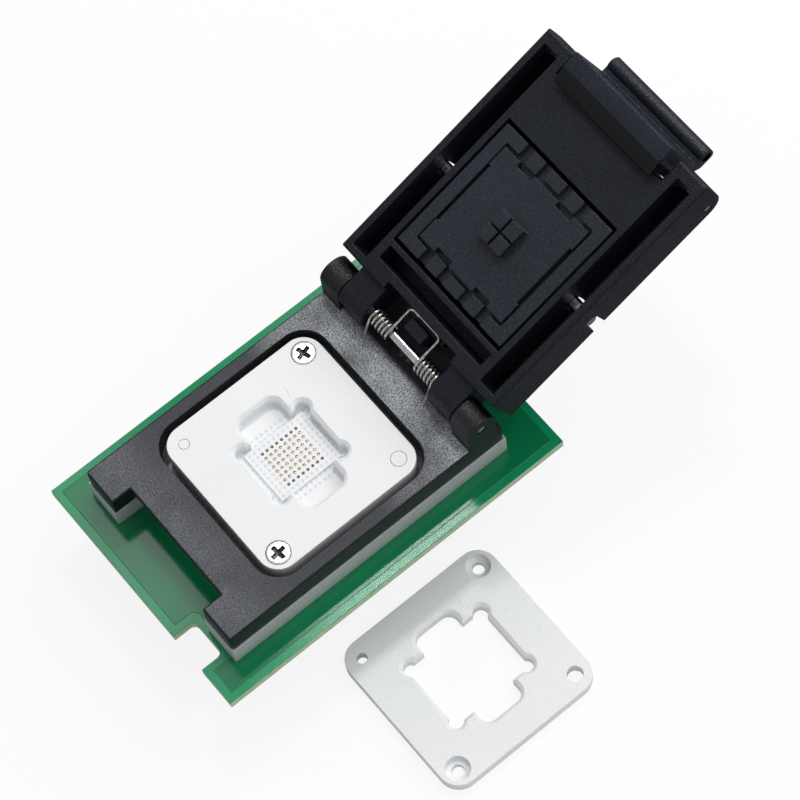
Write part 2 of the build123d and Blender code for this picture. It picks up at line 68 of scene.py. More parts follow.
# %% [markdown]
# ## Places that several pieces share
#
# The chip's middle, the hinge pin and the spare plate are read from the CAD boxes. The lid lies open, rising
# 22.2 degrees from level towards its latch, so its own directions are "along", from the hinge to the latch,
# and "inwards", out of its inside face.

# %% Shared places
lean = radians(22.2)
along = np.array([0.0, cos(lean), sin(lean)])
inwards = np.array([0.0, -sin(lean), cos(lean)])
right = np.array([1.0, 0.0, 0.0])


def middle(node):
    """The middle of a CAD node's box, half-way between its two corners, as an array in metres."""
    low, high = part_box(node)
    return np.array((low + high) / 2)


chip = middle("guide_plate")
hinge = middle("hinge_pin")
spare = middle("spare_guide_plate")
board_low, board_high = (np.array(corner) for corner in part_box("adapter_board"))
plate_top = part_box("guide_plate")[1].z
print("hinge pin at", np.round(hinge / mm, 2), "mm, chip at", np.round(chip / mm, 2), "mm")

# %% [markdown]
# ## Materials: the tools
#
# Colours are read off the photograph as sRGB hex and turned into linear light. Every material starts from
# the same two things: a Principled shader, and Object coordinates, which are metres here, so a pattern's
# scale is a number of marks over the length that they fill. One small function adds any shader node.


# %% Material tools
def linear(code):
    """An sRGB hex colour as linear RGBA: under 0.04045 divide by 12.92, above it the 2.4 power law."""
    srgb = np.array([int(code[i : i + 2], 16) / 255 for i in (0, 2, 4)])
    light = np.where(srgb <= 0.04045, srgb / 12.92, ((srgb + 0.055) / 1.055) ** 2.4)
    return (*light.tolist(), 1.0)


def add(tree, kind, inputs=None, take=0, **settings):
    """Adds a shader node of a kind with its settings, links or sets its inputs, and returns the output that
    take names or numbers, or all its outputs where take is None."""
    node = tree.nodes.new("ShaderNode" + kind)
    for key, value in settings.items():
        setattr(node, key, value)
    for key, value in (inputs or {}).items():
        if isinstance(value, bpy.types.NodeSocket):
            tree.links.new(value, node.inputs[key])
        else:
            node.inputs[key].default_value = value
    return node.outputs if take is None else node.outputs[take]


def begin(name, values=None):
    """A new material: returns it with its node tree, its Principled shader and its Object coordinates."""
    material = bpy.data.materials.new(name)
    material.use_nodes = True
    tree = material.node_tree
    shader = tree.nodes["Principled BSDF"]
    for key, value in (values or {}).items():
        shader.inputs[key].default_value = value
    return material, tree, shader, add(tree, "TexCoord", take="Object")


def ramp(tree, value, low, high):
    """A colour ramp over a value, between two stops of (position, sRGB hex)."""
    colour = add(tree, "ValToRGB", {"Fac": value})
    for stop, (position, code) in zip(colour.node.color_ramp.elements, (low, high)):
        stop.position = position
        stop.color = linear(code)
    return colour


def recolour(material, mask, low=None, high=None):
    """Mixes a material's colour: low where the mask is 0, high where it is 1, and None for its own."""
    tree = material.node_tree
    base = tree.nodes["Principled BSDF"].inputs["Base Color"]
    own = base.links[0].from_socket
    mixed = add(tree, "Mix", {0: mask, 6: low or own, 7: high or own}, take=2, data_type="RGBA")
    tree.links.new(mixed, base)
    print(material.name, "has", len(tree.nodes), "shader nodes")


# %% [markdown]
# ## Plastics
#
# All the plastics are one recipe with different numbers. A mould's wall leaves a field of tiny pits, which
# shows as grain: the grain drives colour, roughness and relief together, because a pit is darker and duller
# than the rim round it. A second, slow noise makes the broad cloudy change of tone that a moulded face has
# from its flow. A picture of grain could be laid on instead, but it would show a seam at every corner.


# %% Plastic recipe
def plastic(name, dark, light, grain, rough, relief, values=None):
    """Grained plastic: its pits are a grain in mm wide, its tone is 0.7 of their height plus 0.15 plus the
    slow noise, its roughness falls from rough's second value to its first as they rise."""
    material, tree, shader, place = begin(name, values)
    pits_per_metre = 1 / (grain * mm)
    clouds_per_metre = 9 / (100 * mm)
    pits = {"Vector": place, "Scale": pits_per_metre, "Detail": 2.5, "Roughness": 0.6}
    pits = add(tree, "TexNoise", pits)
    clouds = add(tree, "TexNoise", {"Vector": place, "Scale": clouds_per_metre, "Detail": 3.0})
    height = add(tree, "Math", {0: pits, 1: 0.7, 2: 0.15}, operation="MULTIPLY_ADD")
    drift = add(tree, "MapRange", {"Value": clouds, "To Min": -0.1, "To Max": 0.1})
    tone = add(tree, "Math", {0: height, 1: drift}, operation="ADD")
    tree.links.new(ramp(tree, tone, (0.32, dark), (0.68, light)), shader.inputs["Base Color"])
    dull = {"Value": pits, "From Min": 0.3, "From Max": 0.7, "To Min": rough[1], "To Max": rough[0]}
    tree.links.new(add(tree, "MapRange", dull), shader.inputs["Roughness"])
    bump = add(tree, "Bump", {"Height": pits, "Strength": relief, "Distance": grain * mm})
    tree.links.new(bump, shader.inputs["Normal"])
    print(f"{name}: pits of {grain} mm")
    return material


# %% [markdown]
# ## The base's grained top and its painted light
#
# The socket's base is moulded in black plastic, with a spark-erosion texture on its top. The top faces are
# painted mid grey, painted light that they mirror from the lamps, and the sides are painted near black,
# painted shade; so the mask follows the face's own direction and its height. It stops short of the hinge,
# where the top is painted near black as well: the painted shadow of the hinge's knuckles.
#
# Painted sheen: the grain is paler towards the hinge and the front, where it mirrors the lamps, and darker
# in the middle, in random patches. The pale specks are painted glints, drawn at 5.5 to a millimetre, a
# little coarser than the real ones, so that they show.

# %% Spark-erosion black, with painted light and shade
# where the painted shadow of the hinge's knuckles starts, and where the lit top is full again, along y
hinge_shade_from, hinge_shade_to = 15.7 * mm, 14.9 * mm
patches_per_metre, specks_per_metre = 16 / (100 * mm), 5.5 / mm
base_black_painted_light = plastic("spark_erosion_black_painted_light", "1B1D22", "3A3D44", 0.2, (0.24, 0.42), 0.6)
tree = base_black_painted_light.node_tree
facing = add(tree, "SeparateXYZ", {"Vector": add(tree, "TexCoord", take="Normal")}, take="Z")
place = add(tree, "TexCoord", take="Object")
_, depth_way, height = add(tree, "SeparateXYZ", {"Vector": place}, take=None)
# the mask is 1 on the lit top faces, and 0 on the sides and in the painted shadow by the hinge
lit_top = 1.0
for value, bare_at, full_at in (
    (facing, 0.75, 0.98),
    (height, plate_top - 0.4 * mm, plate_top - 0.1 * mm),
    (height, plate_top + 0.3 * mm, plate_top + 0.1 * mm),
    (depth_way, hinge_shade_from, hinge_shade_to),
):
    fade = add(tree, "MapRange", {"Value": value, "From Min": bare_at, "From Max": full_at})
    lit_top = add(tree, "Math", {0: lit_top, 1: fade}, operation="MULTIPLY")

# painted sheen: paler towards the hinge and the front, in random patches, with pale specks as painted glints
to_hinge = add(tree, "MapRange", {"Value": depth_way, "From Min": 1.0 * mm, "From Max": 12.0 * mm})
to_front = {"Value": depth_way, "From Min": -14.0 * mm, "From Max": -21.0 * mm, "To Max": 0.2}
to_front = add(tree, "MapRange", to_front)
patches = add(tree, "TexNoise", {"Vector": place, "Scale": patches_per_metre, "Detail": 4.0})
patches = add(tree, "MapRange", {"Value": patches, "From Min": 0.2, "From Max": 0.55})
painted_sheen = add(tree, "Math", {0: to_hinge, 1: to_front}, operation="ADD")
painted_sheen = add(tree, "Math", {0: painted_sheen, 1: patches}, operation="MULTIPLY")
specks = add(tree, "TexNoise", {"Vector": place, "Scale": specks_per_metre, "Detail": 2.0})
# painted sheen and glints on the top, then painted shade on the sides and by the hinge
recolour(base_black_painted_light, painted_sheen, high=ramp(tree, specks, (0.36, "50535B"), (0.64, "CDD0D5")))
recolour(base_black_painted_light, lit_top, low=linear("07080C"))

# %% [markdown]
# ## The lid's blacks
#
# The lid has a finer mould finish, satin and a cool dark grey. The presser in it is pressed from the same
# resin in a smoother mould, so its steps pick up thin bright edges. The latch is satin too, but its hook's
# long slope faces away from every lamp and reads as a dark band. A second material on those faces could
# draw the band; here the tone drops on the hinge side of the hook's crest instead, because its edge is then
# soft. The place along the lid is the dot product of a point with the lid's direction.

# %% Satin and smooth blacks
dull, keen = {"Specular IOR Level": 0.25}, {"Specular IOR Level": 0.3}
satin_black = plastic("satin_moulded_black", "07090E", "20242F", 0.32, (0.3, 0.5), 0.35, dull)
presser_black = plastic("smooth_moulded_black", "11141A", "31353F", 0.28, (0.28, 0.44), 0.25, keen)
latch_black = plastic("satin_moulded_black_latch", "0C0F16", "2A2E3A", 0.3, (0.26, 0.44), 0.3, keen)

# %% The latch's dark slope
hook_crest_from_tip = 5.2 * mm
latch_points = np.array([v.co for v in nodes["latch"].data.vertices]) - hinge
tab_tip = float((latch_points @ along).max())
tab_under = float((latch_points @ inwards).min())
crest = float(hinge @ along) + tab_tip - hook_crest_from_tip
tree = latch_black.node_tree
point = add(tree, "TexCoord", take="Object")
reached = add(tree, "VectorMath", {0: point, 1: tuple(along)}, take="Value", operation="DOT_PRODUCT")
lit = {"Value": reached, "From Min": crest - 0.2 * mm, "From Max": crest + 0.05 * mm}
recolour(latch_black, add(tree, "MapRange", lit), low=linear("06070A"))
print("the latch's tab reaches", round(tab_tip / mm, 2), "mm from the hinge pin")

# %% [markdown]
# ## White and pale grey plastics
#
# The two guide plates are milled from a white engineering plastic and bead-blasted: even and soft, with
# hardly any grain. The pale plate under the base is milled and left so, a little glossier and a cool grey.
#
# The contact block under the opening is the same white, and its drilled grid goes on past the contacts as
# blind dimples at the ball pitch, seen as faint grey dots with a lit rim. Hundreds of dimples could be
# modelled, but they are so shallow that a mask does: it sinks a shallow bump and greys each dot, painted
# shade in the dimple. A cell's own coordinates are the fraction left over after dividing by the pitch, and
# the dimple is where the length from the cell's middle is small.

# %% White and pale grey
blasted_white = plastic("bead_blasted_white_plastic", "E8E9EA", "F4F5F5", 0.2, (0.42, 0.6), 0.06)
block_white = plastic("white_block_painted_dimple_shade", "E8E9EA", "F4F5F5", 0.2, (0.42, 0.6), 0.06)
pale_grey = plastic("machined_pale_grey_plastic", "989C9C", "BCC0C0", 0.25, (0.25, 0.4), 0.08)

# %% Dimples round the contacts
ball_pitch, grid_half, dimple_depth = 0.8, 5.5 * mm, 0.08 * mm
tree = block_white.node_tree
shader = tree.nodes["Principled BSDF"]
axes = add(tree, "SeparateXYZ", {"Vector": add(tree, "TexCoord", take="Object")}, take=None)
cell = []
in_grid = 1.0
for i in range(2):
    offset = add(tree, "Math", {0: axes[i], 1: float(chip[i])}, operation="SUBTRACT")
    steps = add(tree, "Math", {0: offset, 1: ball_pitch * mm}, operation="DIVIDE")
    part = add(tree, "Math", {0: steps}, operation="FRACT")
    cell.append(add(tree, "Math", {0: part, 1: 0.5}, operation="SUBTRACT"))
    wide = add(tree, "Math", {0: offset}, operation="ABSOLUTE")
    near = add(tree, "Math", {0: wide, 1: grid_half}, operation="LESS_THAN")
    in_grid = add(tree, "Math", {0: in_grid, 1: near}, operation="MULTIPLY")
in_cell = add(tree, "CombineXYZ", {"X": cell[0], "Y": cell[1]})
from_middle = add(tree, "VectorMath", {0: in_cell}, take="Value", operation="LENGTH")
dimple = add(tree, "MapRange", {"Value": from_middle, "From Min": 0.32, "From Max": 0.2})
dimple = add(tree, "Math", {0: dimple, 1: in_grid}, operation="MULTIPLY")
# painted shade: each dimple is greyed where its shade falls
painted_dimple_shade = add(tree, "Math", {0: dimple, 1: 0.24}, operation="MULTIPLY")
recolour(block_white, painted_dimple_shade, high=linear("A9ADB4"))
fine = shader.inputs["Normal"].links[0].from_socket
sunk = {"Height": dimple, "Strength": 0.6, "Distance": dimple_depth, "Normal": fine}
tree.links.new(add(tree, "Bump", sunk, invert=True), shader.inputs["Normal"])

# %% [markdown]
# ## Metals
#
# Drawn wire, ground pins and plated screws are also one recipe. The fine lines that the tool leaves are a
# noise drawn out along one axis, and they change the roughness and a very shallow bump, which is what makes
# a highlight break up along a pin. The anisotropy of the Principled shader could do it for a straight pin,
# but not for a wound spring, whose wire turns all the way round.


# %% Metal recipe
def metal(name, dark, light, stretch, grain, rough, relief):
    """Metal with tool lines: stretch scales the noise along x, y and z, grain is a line's width in mm, and
    the roughness rises with the noise from rough's first value to its second."""
    material, tree, shader, place = begin(name, {"Metallic": 1.0})
    lines = add(tree, "Mapping", {"Vector": place, "Scale": stretch})
    grit = add(tree, "TexNoise", {"Vector": lines, "Scale": 1 / (grain * mm), "Detail": 3.0})
    tree.links.new(ramp(tree, grit, (0.3, dark), (0.7, light)), shader.inputs["Base Color"])
    dull = add(tree, "MapRange", {"Value": grit, "To Min": rough[0], "To Max": rough[1]})
    tree.links.new(dull, shader.inputs["Roughness"])
    bump = add(tree, "Bump", {"Height": grit, "Strength": relief, "Distance": 0.2 * grain * mm})
    tree.links.new(bump, shader.inputs["Normal"])
    print(f"{name}: lines of {grain} mm")
    return material


even = (1.0, 1.0, 1.0)
# drawn spring wire: bright stainless steel with short dark breaks
spring_wire = metal("drawn_spring_wire", "A9A7A2", "E6E4DE", (0.4, 0.4, 0.4), 0.2, (0.12, 0.3), 0.15)
# ground steel pins: lines round the pin, so the noise is drawn out across it
ground_steel = metal("ground_steel_pin", "B4B4B6", "ECECEC", (1.0, 0.15, 0.15), 0.12, (0.1, 0.28), 0.2)
# gold plate on the contacts and header pins: pale cream gold
gold_plate = metal("gold_plated_contact", "D6B27A", "F2DDB4", even, 0.15, (0.25, 0.45), 0.1)
# nickel plate on the screws: near white, with a soft even shine
nickel = ("D2D2D0", "F4F4F2", even, 0.3, (0.18, 0.34), 0.1)
nickel_plate = metal("nickel_plated_screw", *nickel)

# %% [markdown]
# ## The struck cross
#
# The guide screws' crosses are dark: the colour darkens below the head's top, painted shade in the recess,
# with some dirt in it. The cast shadow alone is too pale under soft lamps, and a mask on the height keeps
# the cross's edge crisp.

# %% Painted shade in the cross
nickel_with_cross_shade = metal("nickel_plated_screw_with_cross_shade", *nickel)
tree = nickel_with_cross_shade.node_tree
level = add(tree, "SeparateXYZ", {"Vector": add(tree, "TexCoord", take="Object")}, take="Z")
shallow = {"Value": level, "From Min": plate_top - 0.22 * mm, "From Max": plate_top - 0.1 * mm}
# painted shade in the recess: the colour darkens below the head's top
recolour(nickel_with_cross_shade, add(tree, "MapRange", shallow), low=linear("505055"))

# %% [markdown]
# ## Solder mask over glass epoxy
#
# The board is a green mask over copper over laminate. The copper pour stops 1.1 mm inside every edge and
# round the lever notch: the mask is deeper green over the copper and paler over bare laminate, and it steps
# up over the copper's edge, which catches the light as one fine line. The cut edge shows the pale laminate
# between the two green skins. The distance to the nearest edge is worked out in the shader, the smallest
# of three: to the sides, to the ends, and to the notch. The pour could be a sheet of its own, but it is a
# hair thick and would flicker against the board's face.

# %% Distance to the board's nearest edge
notch_middle, notch_half, notch_depth = 10.45 * mm, 3.0 * mm, 3.4 * mm
board_middle = (board_low + board_high) / 2
board_half = (board_high - board_low) / 2
solder_mask, tree, shader, place = begin("solder_mask_over_glass_epoxy", {"Specular IOR Level": 0.35})
axes = add(tree, "SeparateXYZ", {"Vector": place}, take=None)
from_middle = []
for i in range(3):
    offset = add(tree, "Math", {0: axes[i], 1: float(board_middle[i])}, operation="SUBTRACT")
    from_middle.append(add(tree, "Math", {0: offset}, operation="ABSOLUTE"))
to_side = add(tree, "Math", {0: float(board_half[0]), 1: from_middle[0]}, operation="SUBTRACT")
to_end = add(tree, "Math", {0: float(board_half[1]), 1: from_middle[1]}, operation="SUBTRACT")
beside = add(tree, "Math", {0: axes[0], 1: notch_middle}, operation="SUBTRACT")
beside = add(tree, "Math", {0: beside}, operation="ABSOLUTE")
beside = add(tree, "Math", {0: beside, 1: notch_half}, operation="SUBTRACT")
behind = add(tree, "Math", {0: axes[1], 1: float(board_low[1]) + notch_depth}, operation="SUBTRACT")
past = [add(tree, "Math", {0: value, 1: 0.0}, operation="MAXIMUM") for value in (beside, behind)]
past = add(tree, "CombineXYZ", {"X": past[0], "Y": past[1]})
to_notch = add(tree, "VectorMath", {0: past}, take="Value", operation="LENGTH")
to_edge = add(tree, "Math", {0: to_side, 1: to_end}, operation="MINIMUM")
to_edge = add(tree, "Math", {0: to_edge, 1: to_notch}, operation="MINIMUM")
print("board", np.round(2 * board_half / mm, 2), "mm")

# %% Mask, copper and laminate
pour_from, pour_to = 1.04 * mm, 1.16 * mm
skin_from, skin_to = 0.12 * mm, 0.06 * mm
copper = {"Value": to_edge, "From Min": pour_from, "From Max": pour_to}
copper = add(tree, "MapRange", copper, interpolation_type="SMOOTHSTEP")
clouds = add(tree, "TexNoise", {"Vector": place, "Scale": 7 / (100 * mm), "Detail": 3.0})
bare = ramp(tree, clouds, (0.3, "118A58"), (0.7, "1B9A68"))
over = ramp(tree, clouds, (0.3, "097045"), (0.7, "0F8050"))
mask = add(tree, "Mix", {0: copper, 6: bare, 7: over}, take=2, data_type="RGBA")
thick = float(board_half[2])
skin = {"Value": from_middle[2], "From Min": thick - skin_from, "From Max": thick - skin_to}
skin = add(tree, "MapRange", skin)
layers = add(tree, "Mapping", {"Vector": place, "Scale": (1, 1, 8)})
glass = add(tree, "TexNoise", {"Vector": layers, "Scale": 9 / (10 * mm)})
cut = ramp(tree, glass, (0.35, "8FAE8A"), (0.65, "C6D2B0"))
board_colour = add(tree, "Mix", {0: skin, 6: cut, 7: mask}, take=2, data_type="RGBA")
tree.links.new(board_colour, shader.inputs["Base Color"])
shine = add(tree, "MapRange", {"Value": skin, "To Min": 0.7, "To Max": 0.13})
tree.links.new(shine, shader.inputs["Roughness"])
orange_peel = add(tree, "TexNoise", {"Vector": place, "Scale": 7 / (10 * mm), "Detail": 1.0})
height = add(tree, "Math", {0: orange_peel, 1: 0.12, 2: copper}, operation="MULTIPLY_ADD")
bump = add(tree, "Bump", {"Height": height, "Strength": 0.6, "Distance": 0.05 * mm})
tree.links.new(bump, shader.inputs["Normal"])
print("materials:", len(bpy.data.materials))

# %% [markdown]
# ## Surfaces from rings
#
# Wires, pins and screws are all rings joined to rings. A ring's points run anticlockwise round the way the
# rings advance, so every quad faces outwards, and the first and last rings are closed with a flat face. A
# curve object with a round bevel would draw the wires too, but rings serve the pins and screws as well.

# %% A piece from points and faces
crease = radians(35)


def piece(name, shape, body, material, node=None):
    """A smooth mesh from (points, faces) that rides on a body. Edges over the crease angle stay sharp."""
    points, faces = shape
    mesh = bpy.data.meshes.new(name)
    mesh.from_pydata(points.tolist(), [], faces)
    mesh.polygons.foreach_set("use_smooth", np.ones(len(mesh.polygons), bool))
    mesh.set_sharp_from_angle(angle=crease)
    mesh.materials.append(material)
    made = bpy.data.objects.new(name, mesh)
    bpy.context.scene.collection.objects.link(made)
    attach(made, body)
    if node:
        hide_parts(node)
    print(f"{name}: {len(mesh.polygons)} faces")
    return made


# %% Rings joined to rings
def joined(rings, sides):
    """Faces over rings of so many points: each quad joins points j and j + 1 of a ring to the next ring."""
    i, j = np.meshgrid(np.arange(rings - 1), np.arange(sides), indexing="ij")
    k = (j + 1) % sides
    quads = np.stack([i * sides + j, i * sides + k, (i + 1) * sides + k, (i + 1) * sides + j], -1)
    first, last = np.arange(sides)[::-1], np.arange(sides) + (rings - 1) * sides
    return [*quads.reshape(-1, 4).tolist(), first.tolist(), last.tolist()]


def gathered(shapes):
    """Several (points, faces) shapes as one: each one's faces count on from the points before it."""
    points, faces, start = [], [], 0
    for shape_points, shape_faces in shapes:
        points.append(shape_points)
        faces += [[corner + start for corner in face] for face in shape_faces]
        start += len(shape_points)
    return np.concatenate(points), faces


# %% Wires and turned parts
def frames(path):
    """Two unit vectors across a path at each point, carried along it with as little twist as can be: the
    last one, less its part along the path."""
    ahead = np.gradient(path, axis=0)
    ahead /= np.linalg.norm(ahead, axis=1)[:, None]
    side = np.cross(ahead[0], right if abs(ahead[0] @ right) < 0.9 else along)
    across = np.zeros_like(path)
    for i, direction in enumerate(ahead):
        side = side - (side @ direction) * direction
        side /= np.linalg.norm(side)
        across[i] = side
    return across, np.cross(ahead, across)


def wire(path, radius, sides):
    """A round wire along a path: point = path + radius (cos a across + sin a up)."""
    across, up = frames(path)
    angle = 2 * pi * np.arange(sides) / sides
    ring = np.cos(angle)[None, :, None] * across[:, None] + np.sin(angle)[None, :, None] * up[:, None]
    return (path[:, None] + radius * ring).reshape(-1, 3), joined(len(path), sides)


def turned(profile, foot, axis, sides):
    """A turned part: the profile's pairs of distance along the axis and radius, spun round from its foot."""
    axis = np.asarray(axis, float)
    across = np.cross(axis, right if abs(axis @ right) < 0.9 else along)
    across /= np.linalg.norm(across)
    up = np.cross(axis, across)
    angle = 2 * pi * np.arange(sides) / sides
    ring = np.cos(angle)[:, None] * across + np.sin(angle)[:, None] * up
    step, radius = np.asarray(profile, float).T
    points = foot + step[:, None, None] * axis + radius[:, None, None] * ring
    return points.reshape(-1, 3), joined(len(step), sides)


# %% [markdown]
# ## Moulded and machined bodies
#
# A real moulded edge is never sharp: it shows as a thin bright line in the photograph. Each body is a copy
# of its CAD mesh with doubled points merged, and a Bevel modifier on its sharp edges only. The width of the
# bevel is the real edge radius, written as a weight on each edge. The top rims of the chip openings are
# rolled over more broadly, and their milled walls below stay sharp. A bevel node in the shader would be
# quicker, but it doesn't change the outline, and a rim has to come from geometry.


# %% Softened bodies
widest_radius, merged_within, sharp_over = 0.5, 0.002, radians(28)


def softened(node, body, slot, material, radius, rolled=None, keep=None, steps=3):
    """A copy of a CAD node with rounded edges: an edge's weight is its radius over the widest one. Both
    tests take an edge's midpoint in mm: rolled gives its own radius or None, and keep says that it stays
    sharp. All lengths are in mm."""
    build = bmesh.new()
    build.from_mesh(nodes[node].data)
    bmesh.ops.remove_doubles(build, verts=build.verts, dist=merged_within * mm)
    build.verts.index_update()
    wanted = {}
    for line in build.edges:
        if len(line.link_faces) != 2 or line.calc_face_angle(0.0) < sharp_over:
            continue
        mid = np.array((line.verts[0].co + line.verts[1].co) / 2) / mm
        if keep and keep(mid):
            continue
        own = rolled(mid) if rolled else None
        ends = tuple(sorted((line.verts[0].index, line.verts[1].index)))
        wanted[ends] = (own or radius) / widest_radius
    points = np.array([v.co for v in build.verts])
    faces = [[v.index for v in face.verts] for face in build.faces]
    build.free()
    made = piece(node + "_body", (points, faces), body, material, node)
    weight = made.data.attributes.new("bevel_weight_edge", "FLOAT", "EDGE")
    weights = [wanted.get(tuple(sorted(edge.vertices)), 0.0) for edge in made.data.edges]
    weight.data.foreach_set("value", weights)
    bevel = made.modifiers.new("edge radius", "BEVEL")
    bevel.limit_method = "WEIGHT"
    bevel.width = widest_radius * mm
    bevel.segments = steps
    bevel.use_clamp_overlap = False
    bevel.loop_slide = False
    bevel.harden_normals = True


# %% Edges with a rule of their own
opening_reach, rim_above_middle, rim_radius = 9.2, 0.95, 0.12
holes_reach, block_underside = 3.4, 9.0


def chip_opening(centre):
    """Two tests for the edges of a guide plate's opening, which lie within its reach of the middle: the top
    rim is rolled over by the rim's radius, and the walls below it stay sharp."""
    height = centre[2] / mm + rim_above_middle

    def near(mid):
        return np.hypot(*(mid - centre / mm)[:2]) < opening_reach

    def rim(mid):
        return rim_radius if near(mid) and mid[2] > height else None

    def walls(mid):
        return bool(near(mid) and mid[2] < height)

    return rim, walls


def contact_field(mid):
    """True for the contact holes' edges and for the block's underside, which stay sharp."""
    return bool((np.abs(mid[:2] - chip[:2] / mm) < holes_reach).all() or mid[2] < block_underside)


# %% The bodies
softened("adapter_board", "adapter", "fr4_green", solder_mask, 0.05, steps=2)
softened("header_strip_left", "adapter", "moulded_black", satin_black, 0.1, steps=2)
softened("header_strip_right", "adapter", "moulded_black", satin_black, 0.1, steps=2)
softened("base_plate", "adapter", "light_grey_plate", pale_grey, 0.12, steps=2)
softened("socket_base", "adapter", "moulded_black", base_black_painted_light, 0.12)
softened("contact_block", "nest", "white_guide", block_white, 0.06, keep=contact_field, steps=2)
softened("guide_plate", "nest", "white_guide", blasted_white, 0.08, *chip_opening(chip))
softened("spare_guide_plate", "spare_guide", "white_guide", blasted_white, 0.08, *chip_opening(spare))
softened("lid_frame", "lid", "moulded_black", satin_black, 0.14)
softened("presser_carrier", "presser", "moulded_black", presser_black, 0.1)
softened("presser_plate", "presser", "moulded_black", presser_black, 0.08)
softened("latch", "latch", "moulded_black", latch_black, 0.15)

# %% [markdown]
# ## The hinge spring
#
# One wire makes the whole spring: a leg that stands on the base, five turns round the hinge pin, a straight
# run up the lid, a loop round the lid's tongue, and the same again mirrored. On the bench it would be wound
# on a mandrel from the loop outwards. Here it is one path, so the wire has no joints. A turn is
# x = start - pitch a / 2 pi, with the wire's middle 1.15 mm from the pin's axis.

# %% Hinge spring
coil_r, wire_r, pitch = 1.15, 0.22, 0.66
coil_in, loop_reach, loop_bend = 2.95, 4.3, 0.6
leg_angle, lid_angle = radians(160.0), lean + pi / 2
sweep = 2 * pi * 5 + leg_angle - lid_angle
coil_out = coil_in + pitch * sweep / (2 * pi)
leg_up = np.array([0.0, sin(leg_angle), -cos(leg_angle)])
leg_top = np.array([coil_out, coil_r * cos(leg_angle), coil_r * sin(leg_angle)])
leg_length = (hinge[2] / mm + leg_top[2] - plate_top / mm - wire_r - 0.02) / leg_up[2]
leg = leg_top - leg_up * np.linspace(leg_length, 0.1, 6)[:, None]
turn = np.linspace(0.0, 1.0, 190)
angle = leg_angle - sweep * turn
coil = np.stack([coil_out - (coil_out - coil_in) * turn, coil_r * np.cos(angle), coil_r * np.sin(angle)], 1)
top = coil_r * inwards
run = coil_in * right + top + along * np.linspace(0.3, loop_reach - loop_bend - 0.1, 5)[:, None]
quarter = np.linspace(0.0, pi / 2, 9)
bend_way = np.cos(quarter)[:, None] * right + np.sin(quarter)[:, None] * along
bend = (coil_in - loop_bend) * right + top + along * (loop_reach - loop_bend) + loop_bend * bend_way
half_path = np.concatenate([leg, coil, run, bend])
mirrored = half_path[::-1] * np.array([-1.0, 1.0, 1.0])
spring_path = hinge + mm * np.concatenate([half_path, mirrored])
hinge_wire = wire(spring_path, wire_r * mm, 14)
piece("hinge_spring_wire", hinge_wire, "adapter", spring_wire, "hinge_spring")

# %% [markdown]
# ## The small coil springs
#
# Each is a plain helix: four under the contact block, two behind the presser, and one round the latch pin.
# Their ends are ground flat on the real ones; here the last quarter turn lies flat, which reads the same.

# %% Coil springs
points_in_turn = 28


def helix(foot, axis, across, radius, height, turns):
    """Points of a coil in mm: foot + rise axis + radius (cos a across + sin a up), where the rise goes
    evenly from 0 to the height, apart from the first and last quarter of a turn."""
    axis, across = np.asarray(axis, float), np.asarray(across, float)
    up = np.cross(axis, across)
    t = np.linspace(0.0, turns, int(turns * points_in_turn))
    rise = np.clip((t - 0.25) / (turns - 0.5), 0.0, 1.0) * height
    a = 2 * pi * t[:, None]
    return foot + rise[:, None] * axis + radius * (np.cos(a) * across + np.sin(a) * up)


def springs(name, paths, radius, body, node):
    """Several wires in one piece, from their paths and their radius in mm."""
    wires = gathered([wire(path * mm, radius * mm, 8) for path in paths])
    piece(name, wires, body, spring_wire, node)


# %% The springs under the contact block
nest_circle, nest_wire_r = 8.4, 0.16
low, high = (np.array(corner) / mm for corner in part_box("nest_springs"))
nest_height = high[2] - low[2] - 0.34
nest_paths = []
for a in pi / 2 * np.arange(4):
    foot = chip / mm * (1, 1, 0) + (nest_circle * cos(a), nest_circle * sin(a), low[2] + 0.17)
    nest_paths.append(helix(foot, (0, 0, 1), (1, 0, 0), 1.1, nest_height, 4.0))
springs("nest_spring_coils", nest_paths, nest_wire_r, "adapter", "nest_springs")

# %% The springs in the lid
presser_middle, presser_apart, presser_back = 19.85, 7.4, 2.81
presser_paths = []
for side in (-presser_apart, presser_apart):
    foot = hinge / mm + along * (presser_middle + side) + inwards * -presser_back
    presser_paths.append(helix(foot, inwards, right, 1.15, 4.02, 6.0))
springs("presser_spring_coils", presser_paths, 0.17, "lid", "presser_springs")
latch_half_coil = 1.38
latch_foot = middle("latch_pin") / mm - right * latch_half_coil
latch_path = helix(latch_foot, right, along, 0.95, 2 * latch_half_coil, 8.0)
springs("latch_spring_coil", [latch_path], 0.14, "lid", "latch_spring")

# %% [markdown]
# ## Pins
#
# The three steel pins are ground bar with a small chamfer at each end. The header pins are drawn and cut to
# a blunt point, so that they enter a socket; the contacts are plungers with a domed tip under each ball.
# All are turned from a profile of a few points, because a round bar needs no more.


# %% Bar pins
def bar(node, name, body, radius, chamfer):
    """A ground pin along X with chamfered ends, as long as its CAD node; radius and chamfer in mm."""
    low, high = (np.array(corner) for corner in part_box(node))
    length = high[0] - low[0]
    ends = [0.0, chamfer * mm, length - chamfer * mm, length]
    radii = [(radius - chamfer) * mm, radius * mm, radius * mm, (radius - chamfer) * mm]
    foot = (low + high) / 2 - right * length / 2
    pin = turned(list(zip(ends, radii)), foot, right, 48)
    piece(name, pin, body, ground_steel, node)


bar("hinge_pin", "hinge_pin_bar", "adapter", 0.7, 0.12)
bar("presser_pin", "presser_pin_bar", "presser", 0.9, 0.15)
bar("latch_pin", "latch_pin_bar", "lid", 0.6, 0.12)

